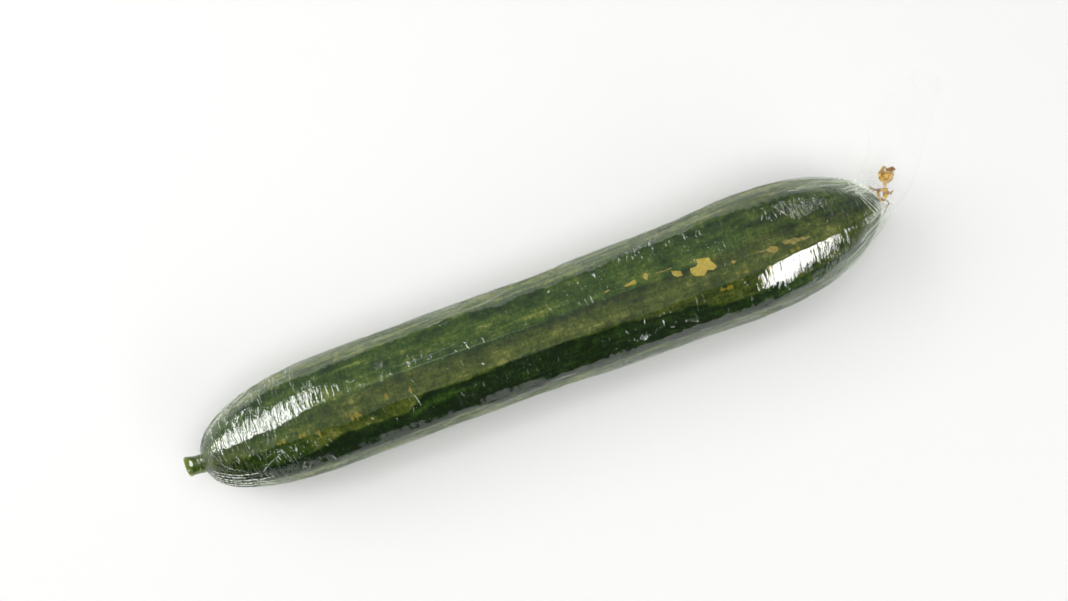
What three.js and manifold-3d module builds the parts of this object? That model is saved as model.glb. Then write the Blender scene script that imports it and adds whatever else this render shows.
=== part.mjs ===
// A greenhouse cucumber in its shrink film, lying on a table.
//
// Millimetres, +Z up. While the shapes are made, x = 0 is where the film closes round the stem
// and +X runs to the blossom end. At the end the group is moved so that its origin is the
// middle of the bounding box's base.
//
// Four pieces: the fruit, the cut stem in a socket at one end of it, the withered blossom at
// the other, and the film, which fits close round the fruit, leaves the stem out through a
// short collar, and runs past the blossom as a flattened tail that bends down to the table.

import * as THREE from "three";
import * as BufferGeometryUtils from "three/addons/utils/BufferGeometryUtils.js";
import Module from "manifold-3d";

const { clamp, lerp, smoothstep } = THREE.MathUtils;

// Size of the wrapped fruit
const LENGTH = 298;
const RADIUS = 24;
const REST_FLAT = 0.9; // how much of the round is pressed flat where it lies
const STEM_DOME = 60; // length of the rounded end at the stem
const TIP_DOME = 52; // length of the rounded end at the blossom
const SWELL = 0.9; // the blossom half is thicker than the stem half by this
const SWELL_FROM = 150;
const SWELL_TO = 185;
const BULGE = 1.3; // and thickest of all here
const BULGE_AT = 238;
const BULGE_REACH = 20;
const SWAY = 1; // the fruit is bent sideways by this much, in a long S
const SWAY_LENGTH = 300;
const SWAY_PEAK = 62;
const STEM_SHIFT = 0.7; // the stem end leans towards -Y by this
const STEM_SHIFT_REACH = 12;

// Film
const WALL = 0.6;
const GAP = 0.35; // clear space between the film and the fruit
const COLLAR_RADIUS = 5.3;
const COLLAR_END = -1.5;
const TAIL_FROM = 14; // the tail leaves the rounded end this far before the tip

// Fruit
const SKIN_INSET = WALL + GAP;
const RIBS = 11;
const RIB_DEPTH = 0.45;
const RIB_CREST = THREE.MathUtils.degToRad(11); // of the top rib, from straight up towards +Y
const UNEVENNESS = 0.15;
const SMOOTH_AT_STEM = 40; // the ribs fade out this near to the stem
const SMOOTH_AT_TIP = 30;

// Stem
const PLUG_RADIUS = 3.6;
const SOCKET_RADIUS = 3.95;
const SOCKET_FLOOR = 4.75;
const SOCKET_RIM = 0.35; // how far the socket's mouth is rounded over
const STEM_RIBS = 5;
const STEM_RIB_DEPTH = 0.22;

// Mesh density
const FILM_SIDES = 40;
const FRUIT_SIDES = RIBS * 6;
const STEM_SIDES = STEM_RIBS * 6;
const BODY_RINGS = 12;
const STEM_DOME_RINGS = 11;
const TIP_DOME_RINGS = 12;
const SMALLEST_RING = 0.3; // radius under which the tip closes in a point

// ---------------------------------------------------------------- outline of the wrapped fruit

function bodyRadius(x) {
  const swell = SWELL * smoothstep(x, SWELL_FROM, SWELL_TO);
  const bulge = BULGE * Math.exp(-(((x - BULGE_AT) / BULGE_REACH) ** 2));
  return RADIUS + swell + bulge;
}

// A rounded end: 0 at the pole, 1 where it meets the body. A higher root makes a blunter end.
function dome(distance, length, power, root) {
  const out = 1 - clamp(distance / length, 0, 1);
  return (1 - out ** power) ** (1 / root);
}

function domedRadius(x) {
  return bodyRadius(x) * dome(x, STEM_DOME, 2.2, 2.4) * dome(LENGTH - x, TIP_DOME, 2.4, 1.5);
}

// The film's outline: the same, but turned out into a collar round the stem.
function filmRadius(x) {
  return (COLLAR_RADIUS ** 6 + domedRadius(x) ** 6) ** (1 / 6);
}

function centreY(x) {
  const bend = SWAY * Math.cos((2 * Math.PI * (x - SWAY_PEAK)) / SWAY_LENGTH);
  return bend - STEM_SHIFT * Math.exp(-Math.max(x, 0) / STEM_SHIFT_REACH);
}

function centreZ(x) {
  return bodyRadius(x) - REST_FLAT;
}

// The point that lies `depth` inside an outline, square to it, at station x.
function insetPoint(radiusAt, x, depth) {
  const step = 0.001;
  const slope = (radiusAt(x + step) - radiusAt(x - step)) / (2 * step);
  const norm = Math.hypot(slope, 1);
  return { x: x + (depth * slope) / norm, radius: radiusAt(x) - depth / norm };
}

// Distances from a pole, close together where the end turns in.
function domeStations(length, nearest, count, crowding) {
  const first = (nearest / length) ** (1 / crowding);
  return Array.from({ length: count }, (_, i) => length * lerp(first, 1, i / (count - 1)) ** crowding);
}

const stemStations = domeStations(STEM_DOME, 0.9, STEM_DOME_RINGS, 2.2);
const tipStations = domeStations(TIP_DOME, 0.5, TIP_DOME_RINGS, 1.8).reverse();
const bodyStations = Array.from({ length: BODY_RINGS - 1 }, (_, i) =>
  lerp(STEM_DOME, LENGTH - TIP_DOME, (i + 1) / BODY_RINGS),
);
const bodyOfFruit = [...stemStations, ...bodyStations, ...tipStations.map((d) => LENGTH - d)];

// ---------------------------------------------------------------- closed meshes from rings

// A ring square to X round the fruit's centre line. radiusAt takes the angle from straight up.
function bodyRing(x, sides, radiusAt, lowest) {
  return Array.from({ length: sides }, (_, j) => {
    const angle = (2 * Math.PI * j) / sides;
    const radius = radiusAt(angle);
    const z = centreZ(x) + radius * Math.cos(angle);
    return new THREE.Vector3(x, centreY(x) + radius * Math.sin(angle), Math.max(z, lowest));
  });
}

function middle(ring) {
  return ring.reduce((sum, p) => sum.add(p), new THREE.Vector3()).divideScalar(ring.length);
}

// Joins equal rings into one closed skin, with a fan over the first ring and the last, which
// meets in the middle of it or at lastPole. turned(i, j) says which way the square after
// ring i, side j is split.
function skinOver(rings, { turned = () => false, lastPole = middle(rings.at(-1)) } = {}) {
  const sides = rings[0].length;
  const last = rings.length - 1;
  const points = [...rings.flat(), middle(rings[0]), lastPole];
  const at = (i, j) => i * sides + (j % sides);
  const faces = [];
  for (let j = 0; j < sides; j++) {
    faces.push([points.length - 2, at(0, j + 1), at(0, j)]);
    faces.push([points.length - 1, at(last, j), at(last, j + 1)]);
  }
  for (let i = 0; i < last; i++) {
    for (let j = 0; j < sides; j++) {
      const [a, b, c, d] = [at(i, j), at(i, j + 1), at(i + 1, j + 1), at(i + 1, j)];
      faces.push(...(turned(i, j) ? [[a, b, d], [b, c, d]] : [[a, b, c], [a, c, d]]));
    }
  }
  return facingOut(points, faces);
}

function facingOut(points, faces) {
  const volume = faces.reduce((sum, [a, b, c]) => {
    return sum + points[a].dot(new THREE.Vector3().crossVectors(points[b], points[c])) / 6;
  }, 0);
  const index = volume > 0 ? faces.flat() : faces.flatMap(([a, b, c]) => [a, c, b]);
  const geometry = new THREE.BufferGeometry().setFromPoints(points);
  geometry.setIndex(index);
  geometry.computeVertexNormals();
  return geometry;
}

// ---------------------------------------------------------------- fruit

// Ribs and slow unevenness, both cut into the round, so nothing stands nearer to the film.
function ribCut(x, angle) {
  const groove = 0.5 - 0.5 * Math.cos(RIBS * (angle - RIB_CREST));
  const fade = smoothstep(x, 4, SMOOTH_AT_STEM) * smoothstep(LENGTH - x, 2, SMOOTH_AT_TIP);
  const slow = 0.5 + 0.5 * Math.sin(x / 11 + 3 * Math.sin(angle)) * Math.cos(2 * angle + x / 37);
  return (RIB_DEPTH * groove + UNEVENNESS * slow) * fade;
}

function fruitRing({ x, radius }) {
  return bodyRing(x, FRUIT_SIDES, (angle) => radius - ribCut(x, angle), SKIN_INSET);
}

function makeFruit() {
  const skin = bodyOfFruit.map((x) => insetPoint(domedRadius, x, SKIN_INSET));
  const face = skin[0];
  const socket = [
    { x: SOCKET_FLOOR, radius: SOCKET_RADIUS },
    { x: face.x + 0.2, radius: SOCKET_RADIUS },
    { x: face.x - 0.05, radius: SOCKET_RADIUS + SOCKET_RIM },
  ];
  const rings = [...socket, ...skin.filter((p) => p.radius > SMALLEST_RING)].map(fruitRing);
  const tipX = LENGTH - SKIN_INSET - 0.1;
  const tip = new THREE.Vector3(tipX, centreY(tipX), centreZ(tipX));
  return skinOver(rings, { lastPole: tip });
}

// ---------------------------------------------------------------- film

// The tail's middle line, measured from the fruit's tip, with its half width and half depth.
// How square the section is goes from 2, an ellipse, upwards.
const TAIL = [
  { at: [-TAIL_FROM, 0, 0], halfWidth: 16.6, halfDepth: 16.6, square: 2 },
  { at: [-3.5, 3.2, -1.9], halfWidth: 11, halfDepth: 10.5, square: 2 },
  { at: [7.5, 9.6, -7.9], halfWidth: 11.2, halfDepth: 6.4, square: 2.2 },
  { at: [18, 20.5, -14.9], halfWidth: 11, halfDepth: 3.2, square: 2.5 },
  { at: [29, 32, -19.9], halfWidth: 10, halfDepth: 1.2, square: 3 },
  { at: [43, 43, -22.9], halfWidth: 6.4, halfDepth: 0.45, square: 3 },
];
const TAIL_RINGS = 16;
const HOLLOW_TO = 0.68; // how far along the tail its two faces stay apart
const TURN_OUT = 0.12; // how far along it the tail has turned from the fruit's line to its own
const PLEAT = 0.5; // height of the tail's lengthwise folds
const PLEAT_WIDTH = 6.5;
const EAR = 5; // the tail's +Y edge juts out by this
const EAR_AT = 0.66; // of the way along it
const EAR_REACH = 0.08;

const filmTip = new THREE.Vector3(LENGTH, centreY(LENGTH), centreZ(LENGTH));
const tailPoints = TAIL.map((p) => new THREE.Vector3(...p.at).add(filmTip));
const tailLine = new THREE.CatmullRomCurve3(tailPoints, false, "catmullrom", 0.5);
const tailSize = new THREE.CatmullRomCurve3(
  TAIL.map((p) => new THREE.Vector3(p.halfWidth, p.halfDepth, p.square)),
  false,
  "catmullrom",
  0.5,
);

function tailHeading(t) {
  const bend = smoothstep(t, 0, TURN_OUT);
  return tailLine.getTangent(t).lerp(new THREE.Vector3(1, 0, 0), 1 - bend).normalize();
}

function tailRing(t, inset) {
  const size = tailSize.getPoint(t);
  const along = tailHeading(t);
  const across = new THREE.Vector3(0, 0, 1).cross(along).normalize();
  const up = along.clone().cross(across);
  const slant = lerp(1.2, 1, smoothstep(t, 0, 0.3)); // the wall is cut aslant near the fruit
  const ear = EAR * Math.exp(-(((t - EAR_AT) / EAR_REACH) ** 2));
  const [halfWidth, halfDepth] = [size.x - inset * slant, size.y - inset * slant];
  return Array.from({ length: FILM_SIDES }, (_, j) => {
    const angle = (2 * Math.PI * j) / FILM_SIDES;
    const [sine, cosine] = [Math.sin(angle), Math.cos(angle)];
    const w = halfWidth * Math.sign(sine) * Math.abs(sine) ** (2 / size.z) + ear * Math.max(sine, 0) ** 2;
    const n = halfDepth * Math.sign(cosine) * Math.abs(cosine) ** (2 / size.z);
    const fold = PLEAT * smoothstep(t, 0.35, 0.8) * Math.sin((2 * Math.PI * w) / PLEAT_WIDTH + 5 * t);
    return tailLine.getPoint(t).addScaledVector(across, w).addScaledVector(up, n + fold);
  });
}

function filmRing(x, inset) {
  const point = insetPoint(filmRadius, x, inset);
  return bodyRing(point.x, FILM_SIDES, () => point.radius, inset);
}

function makeFilm() {
  const collar = [COLLAR_END, -0.6, 0.1, 0.5];
  const round = [...collar, ...bodyOfFruit.filter((x) => LENGTH - x > TAIL_FROM + 0.5)];
  const steps = Array.from({ length: TAIL_RINGS }, (_, i) => i / (TAIL_RINGS - 1));
  const outside = [...round.map((x) => filmRing(x, 0)), ...steps.map((t) => tailRing(t, 0))];
  const inside = [
    ...round.map((x) => filmRing(x, WALL)),
    ...steps.filter((t) => t < HOLLOW_TO).map((t) => tailRing(t, WALL)),
  ];
  const mouth = outside.length;
  const turned = (i, j) => j < FILM_SIDES / 2 !== i >= mouth;
  return skinOver([...outside.reverse(), ...inside], { turned });
}

// ---------------------------------------------------------------- stem

// The stem's rings from the end of its plug to the cut, on a line that bends to +Y and up.
const STEM = [
  { x: 4.4, y: 0, z: 0, radius: PLUG_RADIUS - 0.4, ribbed: 0 },
  { x: 4.0, y: 0, z: 0, radius: PLUG_RADIUS, ribbed: 0 },
  { x: 1.6, y: 0, z: 0, radius: PLUG_RADIUS, ribbed: 0 },
  { x: 0.9, y: 0, z: 0, radius: 4.0, ribbed: 0.4 },
  { x: -0.6, y: 0.05, z: 0, radius: 4.0, ribbed: 0.8 },
  { x: -2.4, y: 0.25, z: 0.1, radius: 3.85, ribbed: 1 },
  { x: -4.4, y: 0.5, z: 0.25, radius: 3.85, ribbed: 1 },
  { x: -6.2, y: 0.75, z: 0.4, radius: 4.0, ribbed: 1 },
  { x: -7.0, y: 0.86, z: 0.46, radius: 3.9, ribbed: 1 },
  { x: -7.3, y: 0.9, z: 0.5, radius: 3.5, ribbed: 0.8 },
  { x: -7.1, y: 0.88, z: 0.48, radius: 2.2, ribbed: 0.4 },
];
const CUT_SLOPE = 0.06; // the knife's cut leans back towards +Y

function stemRing(p) {
  const centre = new THREE.Vector3(p.x, centreY(p.x) + p.y, centreZ(0) + p.z);
  return Array.from({ length: STEM_SIDES }, (_, j) => {
    const angle = (2 * Math.PI * j) / STEM_SIDES;
    const rib = STEM_RIB_DEPTH * p.ribbed * Math.cos(STEM_RIBS * angle + 0.6);
    const y = (p.radius + rib) * Math.sin(angle);
    const z = (p.radius + rib) * Math.cos(angle);
    const lean = -CUT_SLOPE * y * smoothstep(-p.x, 2, 7);
    return centre.clone().add(new THREE.Vector3(lean, y, z));
  });
}

// ---------------------------------------------------------------- withered blossom

// Places are measured from the fruit's tip. Petals leave the base, bow out, draw together in
// a neck and crumple into a ball; `spread` is how far from the spine they run at each point.
const BLOSSOM_SPINE = [
  [1, 0.2, 0], [1.1, 2, -0.4], [1.9, 4.4, -1.6], [3.1, 6.6, -3.2], [4.7, 9.3, -5.2], [6.3, 12, -6.9],
];
const SPREAD = [0.5, 2.2, 2.3, 0.8, 2.2, 3.3];
const PETAL_WIDTH = [0.8, 0.95, 0.85, 0.6, 1.35, 0.35];
const PETALS = 5;
const PETAL_TURN = 1.5; // how far round the spine a petal winds, in radians
const PETAL_THICK = 0.65;
const PETAL_CREASE = 0.3;
const PETAL_WANDER = 0.5;
const RIBBON_STEPS = 14;
const SHORTEST_EDGE = 0.02;
const LOOSE_CURLS = [
  { path: [[0.3, 1, 0], [-0.4, 3.4, 1.2], [-2.2, 5.4, 1.6], [-3.6, 7.6, 0.9]], width: 0.7 },
  { path: [[0.4, 0.6, -0.2], [2.2, 2.2, -0.6], [3.8, 2.4, -1.2], [4.6, 3.9, -1.4]], width: 0.65 },
];

const wasm = await Module();
wasm.setup();

function toSolid(geometry) {
  const bare = geometry.clone();
  bare.deleteAttribute("normal");
  bare.deleteAttribute("uv");
  const merged = BufferGeometryUtils.mergeVertices(bare, 1e-4);
  const vertProperties = Float32Array.from(merged.attributes.position.array);
  const triVerts = Uint32Array.from(merged.index.array);
  return new wasm.Manifold(new wasm.Mesh({ numProp: 3, vertProperties, triVerts }));
}

function toGeometry(solid) {
  const mesh = solid.getMesh();
  const geometry = new THREE.BufferGeometry();
  geometry.setAttribute("position", new THREE.BufferAttribute(mesh.vertProperties, 3));
  geometry.setIndex(new THREE.BufferAttribute(mesh.triVerts, 1));
  geometry.computeVertexNormals();
  return geometry;
}

// Small repeatable random numbers from 0 to 1.
function seededRandom(seed) {
  let state = seed;
  return () => {
    state = (state * 1664525 + 1013904223) % 4294967296;
    return state / 4294967296;
  };
}

const curveThrough = (points) => new THREE.CatmullRomCurve3(points, false, "catmullrom", 0.5);
const fromTip = (place) => new THREE.Vector3(...place).add(filmTip);

// A creased strip along a curve. widthAt(u) is its half width, and outwardAt(u) its upper side.
function ribbon(curve, widthAt, outwardAt, crease) {
  const rings = Array.from({ length: RIBBON_STEPS }, (_, i) => {
    const u = i / (RIBBON_STEPS - 1);
    const centre = curve.getPoint(u);
    const along = curve.getTangent(u);
    const side = along.clone().cross(outwardAt(u)).normalize();
    const up = side.clone().cross(along).normalize();
    const half = widthAt(u);
    const fold = crease * (i % 2 === 0 ? 1 : -0.6);
    const h = PETAL_THICK / 2;
    const section = [[-half, h], [0, h + fold], [half, h], [half, -h], [0, fold - h], [-half, -h]];
    return section.map(([s, n]) => centre.clone().addScaledVector(side, s).addScaledVector(up, n));
  });
  return toSolid(skinOver(rings));
}

function sampleList(values, u) {
  const place = u * (values.length - 1);
  const k = Math.min(Math.floor(place), values.length - 2);
  return lerp(values[k], values[k + 1], smoothstep(place - k, 0, 1));
}

function petal(k, spine, random) {
  const start = (2 * Math.PI * k) / PETALS + 0.5 * random();
  const reach = lerp(0.75, 1.1, random());
  const outwardAt = (u) => {
    const along = spine.getTangent(u);
    const across = new THREE.Vector3(0, 0, 1).cross(along).normalize();
    const up = along.clone().cross(across);
    const angle = start + PETAL_TURN * u;
    return across.multiplyScalar(Math.sin(angle)).addScaledVector(up, Math.cos(angle));
  };
  const points = Array.from({ length: 9 }, (_, i) => {
    const u = i / 8;
    const wander = i === 0 ? 0 : PETAL_WANDER * (random() - 0.5);
    return spine.getPoint(u).addScaledVector(outwardAt(u), reach * sampleList(SPREAD, u) + wander);
  });
  return ribbon(curveThrough(points), (u) => sampleList(PETAL_WIDTH, u), outwardAt, PETAL_CREASE);
}

function makeBlossom() {
  const random = seededRandom(7);
  const spine = curveThrough(BLOSSOM_SPINE.map(fromTip));
  const up = () => new THREE.Vector3(0.2, -0.1, 1).normalize();
  const base = new THREE.LatheGeometry(
    [[0, -0.5], [1.5, -0.5], [1.9, 0.1], [1.7, 0.9], [1, 1.5], [0, 1.7]].map((p) => new THREE.Vector2(...p)),
    12,
  );
  base.rotateZ(-Math.PI / 2);
  base.translate(...filmTip.toArray());
  const pieces = [toSolid(base), ribbon(spine, (u) => lerp(0.7, 0.5, u), up, 0.1)];
  for (let k = 0; k < PETALS; k++) {
    pieces.push(petal(k, spine, random));
  }
  for (const curl of LOOSE_CURLS) {
    const path = curveThrough(curl.path.map(fromTip));
    pieces.push(ribbon(path, (u) => curl.width * lerp(1, 0.6, u), up, 0.2));
  }
  const joined = wasm.Manifold.union(pieces).simplify(SHORTEST_EDGE);
  const bodies = joined.decompose().sort((a, b) => b.volume() - a.volume());
  return toGeometry(bodies[0]);
}

// ---------------------------------------------------------------- assembly

function piece(name, geometry, color, roughness) {
  const material = new THREE.MeshStandardMaterial({ color, roughness, metalness: 0 });
  const mesh = new THREE.Mesh(geometry, material);
  mesh.name = name;
  return mesh;
}

const film = piece("shrink_film", makeFilm(), 0xdfe6e2, 0.1);
film.material.transparent = true;
film.material.opacity = 0.3;

const cucumber = new THREE.Group();
cucumber.name = "cucumber";
cucumber.add(
  piece("fruit", makeFruit(), 0x2c4a1c, 0.45),
  piece("stem", skinOver(STEM.map(stemRing)), 0x6f8434, 0.55),
  piece("dried_blossom", makeBlossom(), 0xb8802c, 0.8),
  film,
);

const box = new THREE.Box3().setFromObject(cucumber);
const centre = box.getCenter(new THREE.Vector3());
cucumber.position.set(-centre.x, -centre.y, -box.min.z);

export default cucumber;
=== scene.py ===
import math
import random

import bpy
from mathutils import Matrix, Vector, noise

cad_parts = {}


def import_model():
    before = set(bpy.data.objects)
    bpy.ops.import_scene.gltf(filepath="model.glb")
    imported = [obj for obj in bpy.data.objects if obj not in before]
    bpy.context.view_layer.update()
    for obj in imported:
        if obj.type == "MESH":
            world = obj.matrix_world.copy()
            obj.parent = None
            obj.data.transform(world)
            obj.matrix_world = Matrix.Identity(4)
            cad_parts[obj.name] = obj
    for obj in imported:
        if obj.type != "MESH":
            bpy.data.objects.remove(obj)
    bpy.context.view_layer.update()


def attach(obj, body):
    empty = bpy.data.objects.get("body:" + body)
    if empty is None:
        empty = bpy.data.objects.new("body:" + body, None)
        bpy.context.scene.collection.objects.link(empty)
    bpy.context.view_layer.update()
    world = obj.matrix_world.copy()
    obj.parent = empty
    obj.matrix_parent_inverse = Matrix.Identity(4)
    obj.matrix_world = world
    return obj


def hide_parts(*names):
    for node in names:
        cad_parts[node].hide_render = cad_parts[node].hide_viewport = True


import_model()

# Lengths are in millimetres until world() makes them metres, and x counts from the fruit's stem end.
# Angles round the fruit count from its top, towards +Y.
SHIFT_X, SHIFT_Y = 168.693, 10.627  # the frame's origin
LENGTH = 298
RADIUS = 24
REST_FLAT = 0.9  # how far the strip that the fruit lies on is pressed in
# The film's lengthwise crests, in degrees.
CRESTS = [-176, -144, -113, -82, -50, -15.5, 11.5, 49, 84, 118, 151]
COLLAR_RADIUS = 5.3  # the film's opening round the stem
COLLAR_END = -1.5
FILM_END = LENGTH - 14  # where the film's rings over the fruit end and its tail starts
TAIL_LENGTH = 57  # along the tail's bend


def world(x, y, z):
    return Vector(((x - SHIFT_X) / 1000, (y - SHIFT_Y) / 1000, z / 1000))


def clamp(value, low=0.0, high=1.0):
    return max(low, min(high, value))


def smoothstep(value, start, end):
    t = clamp((value - start) / (end - start))
    return t * t * (3 - 2 * t)


def fade(value, start, end):
    return 1 - smoothstep(value, start, end)


def hump(value, centre, reach):
    return math.exp(-((value - centre) / reach) ** 2)


def bumps(*place):
    """Smooth random bumps, between -1 and 1."""
    return noise.noise(Vector(place))


def fractal(octaves, *place):
    return noise.fractal(Vector(place), 1.0, 2.0, octaves)


# ---------- the fruit's form

def body_radius(x):
    return RADIUS + 0.9 * smoothstep(x, 150, 185) + 1.3 * hump(x, 238, 20)


def dome(distance, length, power, root):
    return (1 - (1 - clamp(distance / length)) ** power) ** (1 / root)


def domed_radius(x):
    return body_radius(x) * dome(x, 60, 2.2, 2.4) * dome(LENGTH - x, 52, 2.4, 1.5)


def film_radius(x):
    return (COLLAR_RADIUS ** 6 + max(domed_radius(x), 0) ** 6) ** (1 / 6)


def centre_y(x):
    return math.cos(2 * math.pi * (x - 62) / 300) - 0.7 * math.exp(-max(x, 0) / 12)


def centre_z(x):
    return body_radius(x) - REST_FLAT


def skin_radius(x):
    return domed_radius(x) if x > LENGTH / 2 else film_radius(x)


def inset(x, depth, outline=film_radius):
    """The point at this depth under the outline: its place along the fruit and its radius."""
    slope = (outline(x + 0.05) - outline(x - 0.05)) / 0.1
    norm = math.hypot(slope, 1)
    return x + depth * slope / norm, outline(x) - depth / norm


def ring_point(x, radius, angle, lowest):
    return (x,
            centre_y(x) + radius * math.sin(angle),
            max(centre_z(x) + radius * math.cos(angle), lowest))


def wrap(angle):
    return (angle + math.pi) % (2 * math.pi) - math.pi


def spread(start, end, step, fine=None):
    """Positions from start to end. fine(x) divides the step there."""
    places = [start]
    while places[-1] < end:
        here = step / (fine(places[-1]) if fine else 1)
        places.append(places[-1] + here)
    scale = (end - start) / (places[-1] - start)
    return [start + (p - start) * scale for p in places]


def ring_angles(count, gather):
    """Angles round a ring from under the fruit, over its top, where gather sets them closer together."""
    turns = [2 * i / count - 1 for i in range(count)]
    return [math.pi * u - gather * math.sin(math.pi * u) for u in turns]


def add_mesh(name, points, faces, attributes=None):
    mesh = bpy.data.meshes.new(name)
    mesh.from_pydata([world(*p) for p in points], [], faces)
    mesh.polygons.foreach_set("use_smooth", [True] * len(mesh.polygons))
    for key, values in (attributes or {}).items():
        layer = mesh.attributes.new(key, "FLOAT", "POINT")
        layer.data.foreach_set("value", values)
    mesh.update()
    piece = bpy.data.objects.new(name, mesh)
    bpy.context.collection.objects.link(piece)
    return piece


def loft(rings, count, close_start=False, close_end=False):
    """Quads between rings of the same count, with a fan of triangles on a closed end."""
    faces = []
    for row in range(rings - 1):
        base = row * count
        for i in range(count):
            j = (i + 1) % count
            faces.append((base + i, base + count + i, base + count + j, base + j))
    extra = rings * count
    if close_start:
        faces += [(i, (i + 1) % count, extra) for i in range(count)]
        extra += 1
    if close_end:
        last = (rings - 1) * count
        faces += [(last + (i + 1) % count, last + i, extra) for i in range(count)]
    return faces


# ---------- material helpers

class Nodes:
    """A short way to write the node tree of a material, or of the world."""

    def __init__(self, name, world=False):
        self.owner = (bpy.data.worlds if world else bpy.data.materials).new(name)
        self.owner.use_nodes = True
        self.tree = self.owner.node_tree
        self.tree.nodes.clear()
        self.out = self.tree.nodes.new("ShaderNodeOutputWorld" if world else "ShaderNodeOutputMaterial")

    def add(self, kind, inputs=None, **settings):
        node = self.tree.nodes.new(kind)
        for key, value in settings.items():
            setattr(node, key, value)
        for key, value in (inputs or {}).items():
            self.put(node, key, value)
        return node

    def put(self, node, key, value):
        if isinstance(value, bpy.types.NodeSocket):
            self.tree.links.new(value, node.inputs[key])
        else:
            node.inputs[key].default_value = value

    def place(self, scale, shift=(0, 0, 0)):
        """Object coordinates in millimetres, stretched by scale."""
        coordinates = self.add("ShaderNodeTexCoord")
        size = tuple(s * 1000 for s in scale)
        return self.add("ShaderNodeMapping", {"Vector": coordinates.outputs["Object"],
                                              "Scale": size, "Location": shift}).outputs[0]

    def noise(self, vector, detail, rough=0.5, distortion=0.0):
        return self.add("ShaderNodeTexNoise", {"Vector": vector, "Scale": 1.0, "Detail": detail,
                                               "Roughness": rough, "Distortion": distortion}).outputs[0]

    def range(self, value, low, high, to_low=0.0, to_high=1.0):
        return self.add("ShaderNodeMapRange", {"Value": value, "From Min": low, "From Max": high,
                                               "To Min": to_low, "To Max": to_high},
                        interpolation_type="SMOOTHSTEP").outputs[0]

    def math(self, operation, a, b=None):
        inputs = {0: a} if b is None else {0: a, 1: b}
        return self.add("ShaderNodeMath", inputs, operation=operation).outputs[0]

    def plus(self, total, *others):
        for other in others:
            total = self.math("ADD", total, other)
        return total

    def times(self, a, b):
        return self.math("MULTIPLY", a, b)

    def swing(self, value, share):
        """How far a noise is from its middle, times share."""
        return self.times(self.math("SUBTRACT", value, 0.5), share)

    def threads(self, value, width):
        """1 on the thin lines where a noise passes its middle, and 0 where it is this far from it."""
        away = self.math("ABSOLUTE", self.math("SUBTRACT", value, 0.5))
        return self.range(away, 0.0, width, 1.0, 0.0)

    def mix(self, factor, a, b):
        node = self.add("ShaderNodeMix", data_type="RGBA")
        self.put(node, 0, factor)
        self.put(node, 6, a)
        self.put(node, 7, b)
        return node.outputs[2]

    def ramp(self, value, steps):
        """A colour ramp through (place, red, green, blue) steps."""
        node = self.add("ShaderNodeValToRGB", {"Fac": value})
        points = node.color_ramp.elements
        while len(points) < len(steps):
            points.new(0.5)
        for point, (place, *colour) in zip(points, steps):
            point.position = place
            point.color = (*colour, 1)
        return node.outputs[0]

    def bump(self, height, metres):
        inputs = {"Height": height, "Distance": metres, "Strength": 1.0}
        return self.add("ShaderNodeBump", inputs).outputs[0]

    def attribute(self, name):
        return self.add("ShaderNodeAttribute", attribute_name=name).outputs["Fac"]

    def finish(self, shader):
        self.tree.links.new(shader.outputs[0], self.out.inputs["Surface"])
        return self.owner

    def principled(self, colour, roughness, normal=None, more=None):
        inputs = {"Base Color": colour, "Roughness": roughness, **(more or {})}
        if normal:
            inputs["Normal"] = normal
        return self.finish(self.add("ShaderNodeBsdfPrincipled", inputs))


# ---------- ribs

def between_crests(angle):
    """The place between the two crests beside this angle, from 0 to 1, and their distance in degrees."""
    degrees = math.degrees(angle)
    if degrees < CRESTS[0]:
        degrees += 360
    around = CRESTS + [CRESTS[0] + 360]
    for low, high in zip(around, around[1:]):
        if degrees <= high:
            return (degrees - low) / (high - low), high - low
    return 0.0, 30.0


def crest_drift(x, angle):
    """How far the crests wander here, in radians. A positive drift is towards a lower angle."""
    s, c = math.sin(angle), math.cos(angle)
    sides = smoothstep(abs(s), 0.45, 0.75)
    slow = bumps(x / 20, 2 * s, 2 * c)
    quick = bumps(x / 5, 2 * s + 5, 2 * c)
    degrees = math.degrees(wrap(angle))
    near_tip = -2.5 * hump(x, 262, 26) * hump(degrees, -14, 12)
    near_stem = 5.5 * fade(x, 34, 56) * hump(degrees, 9, 12)
    lower = 3.5 * fade(x, 120, 170) - 2.5 * smoothstep(x, 175, 200) * fade(x, 225, 250)
    lower *= hump(degrees, -51, 14)
    wander = (3.6 + 6.0 * sides) * slow + (1.2 + 3.0 * sides) * quick
    return math.radians(wander + near_tip + near_stem + lower)


def strip_depth(x, angle):
    """How far a strip of film, stretched between two crests, lies inside the round outline, in mm."""
    place, width = between_crests(wrap(angle))
    half = math.radians(width) / 2
    off = abs(2 * place - 1)
    shown = smoothstep(x, 3, 24) * smoothstep(LENGTH - x, 12, 40)
    depth = 0.62 * film_radius(x) * (1 - math.cos(half) / math.cos(half * off)) * shown
    return math.hypot(depth, 0.05) - 0.05


# ---------- the skin

def skin_relief(x, angle):
    """How far the skin lies inside the film's outline, in mm."""
    ends = smoothstep(x, 6, 40) * smoothstep(LENGTH - x, 2, 30)
    lumps = fractal(4, x / 9, 2.4 * math.sin(angle), 2.4 * math.cos(angle))
    return 0.42 + 1.05 * strip_depth(x, angle + crest_drift(x, angle)) + 0.10 * (lumps + 0.6) * ends


def piecewise(table, value):
    for (a, low), (b, high) in zip(table, table[1:]):
        if value <= b:
            return low + (high - low) * clamp((value - a) / (b - a))
    return table[-1][1]


def dark_edge(x):
    """Where the olive strip ends and the dark one starts, in degrees from the top."""
    return (-17 - 7 * fade(x, 46, 62) - 11.5 * fade(x, 86, 98)
            - 9 * smoothstep(x, 182, 206) - 12 * smoothstep(x, 206, 222))


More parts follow.
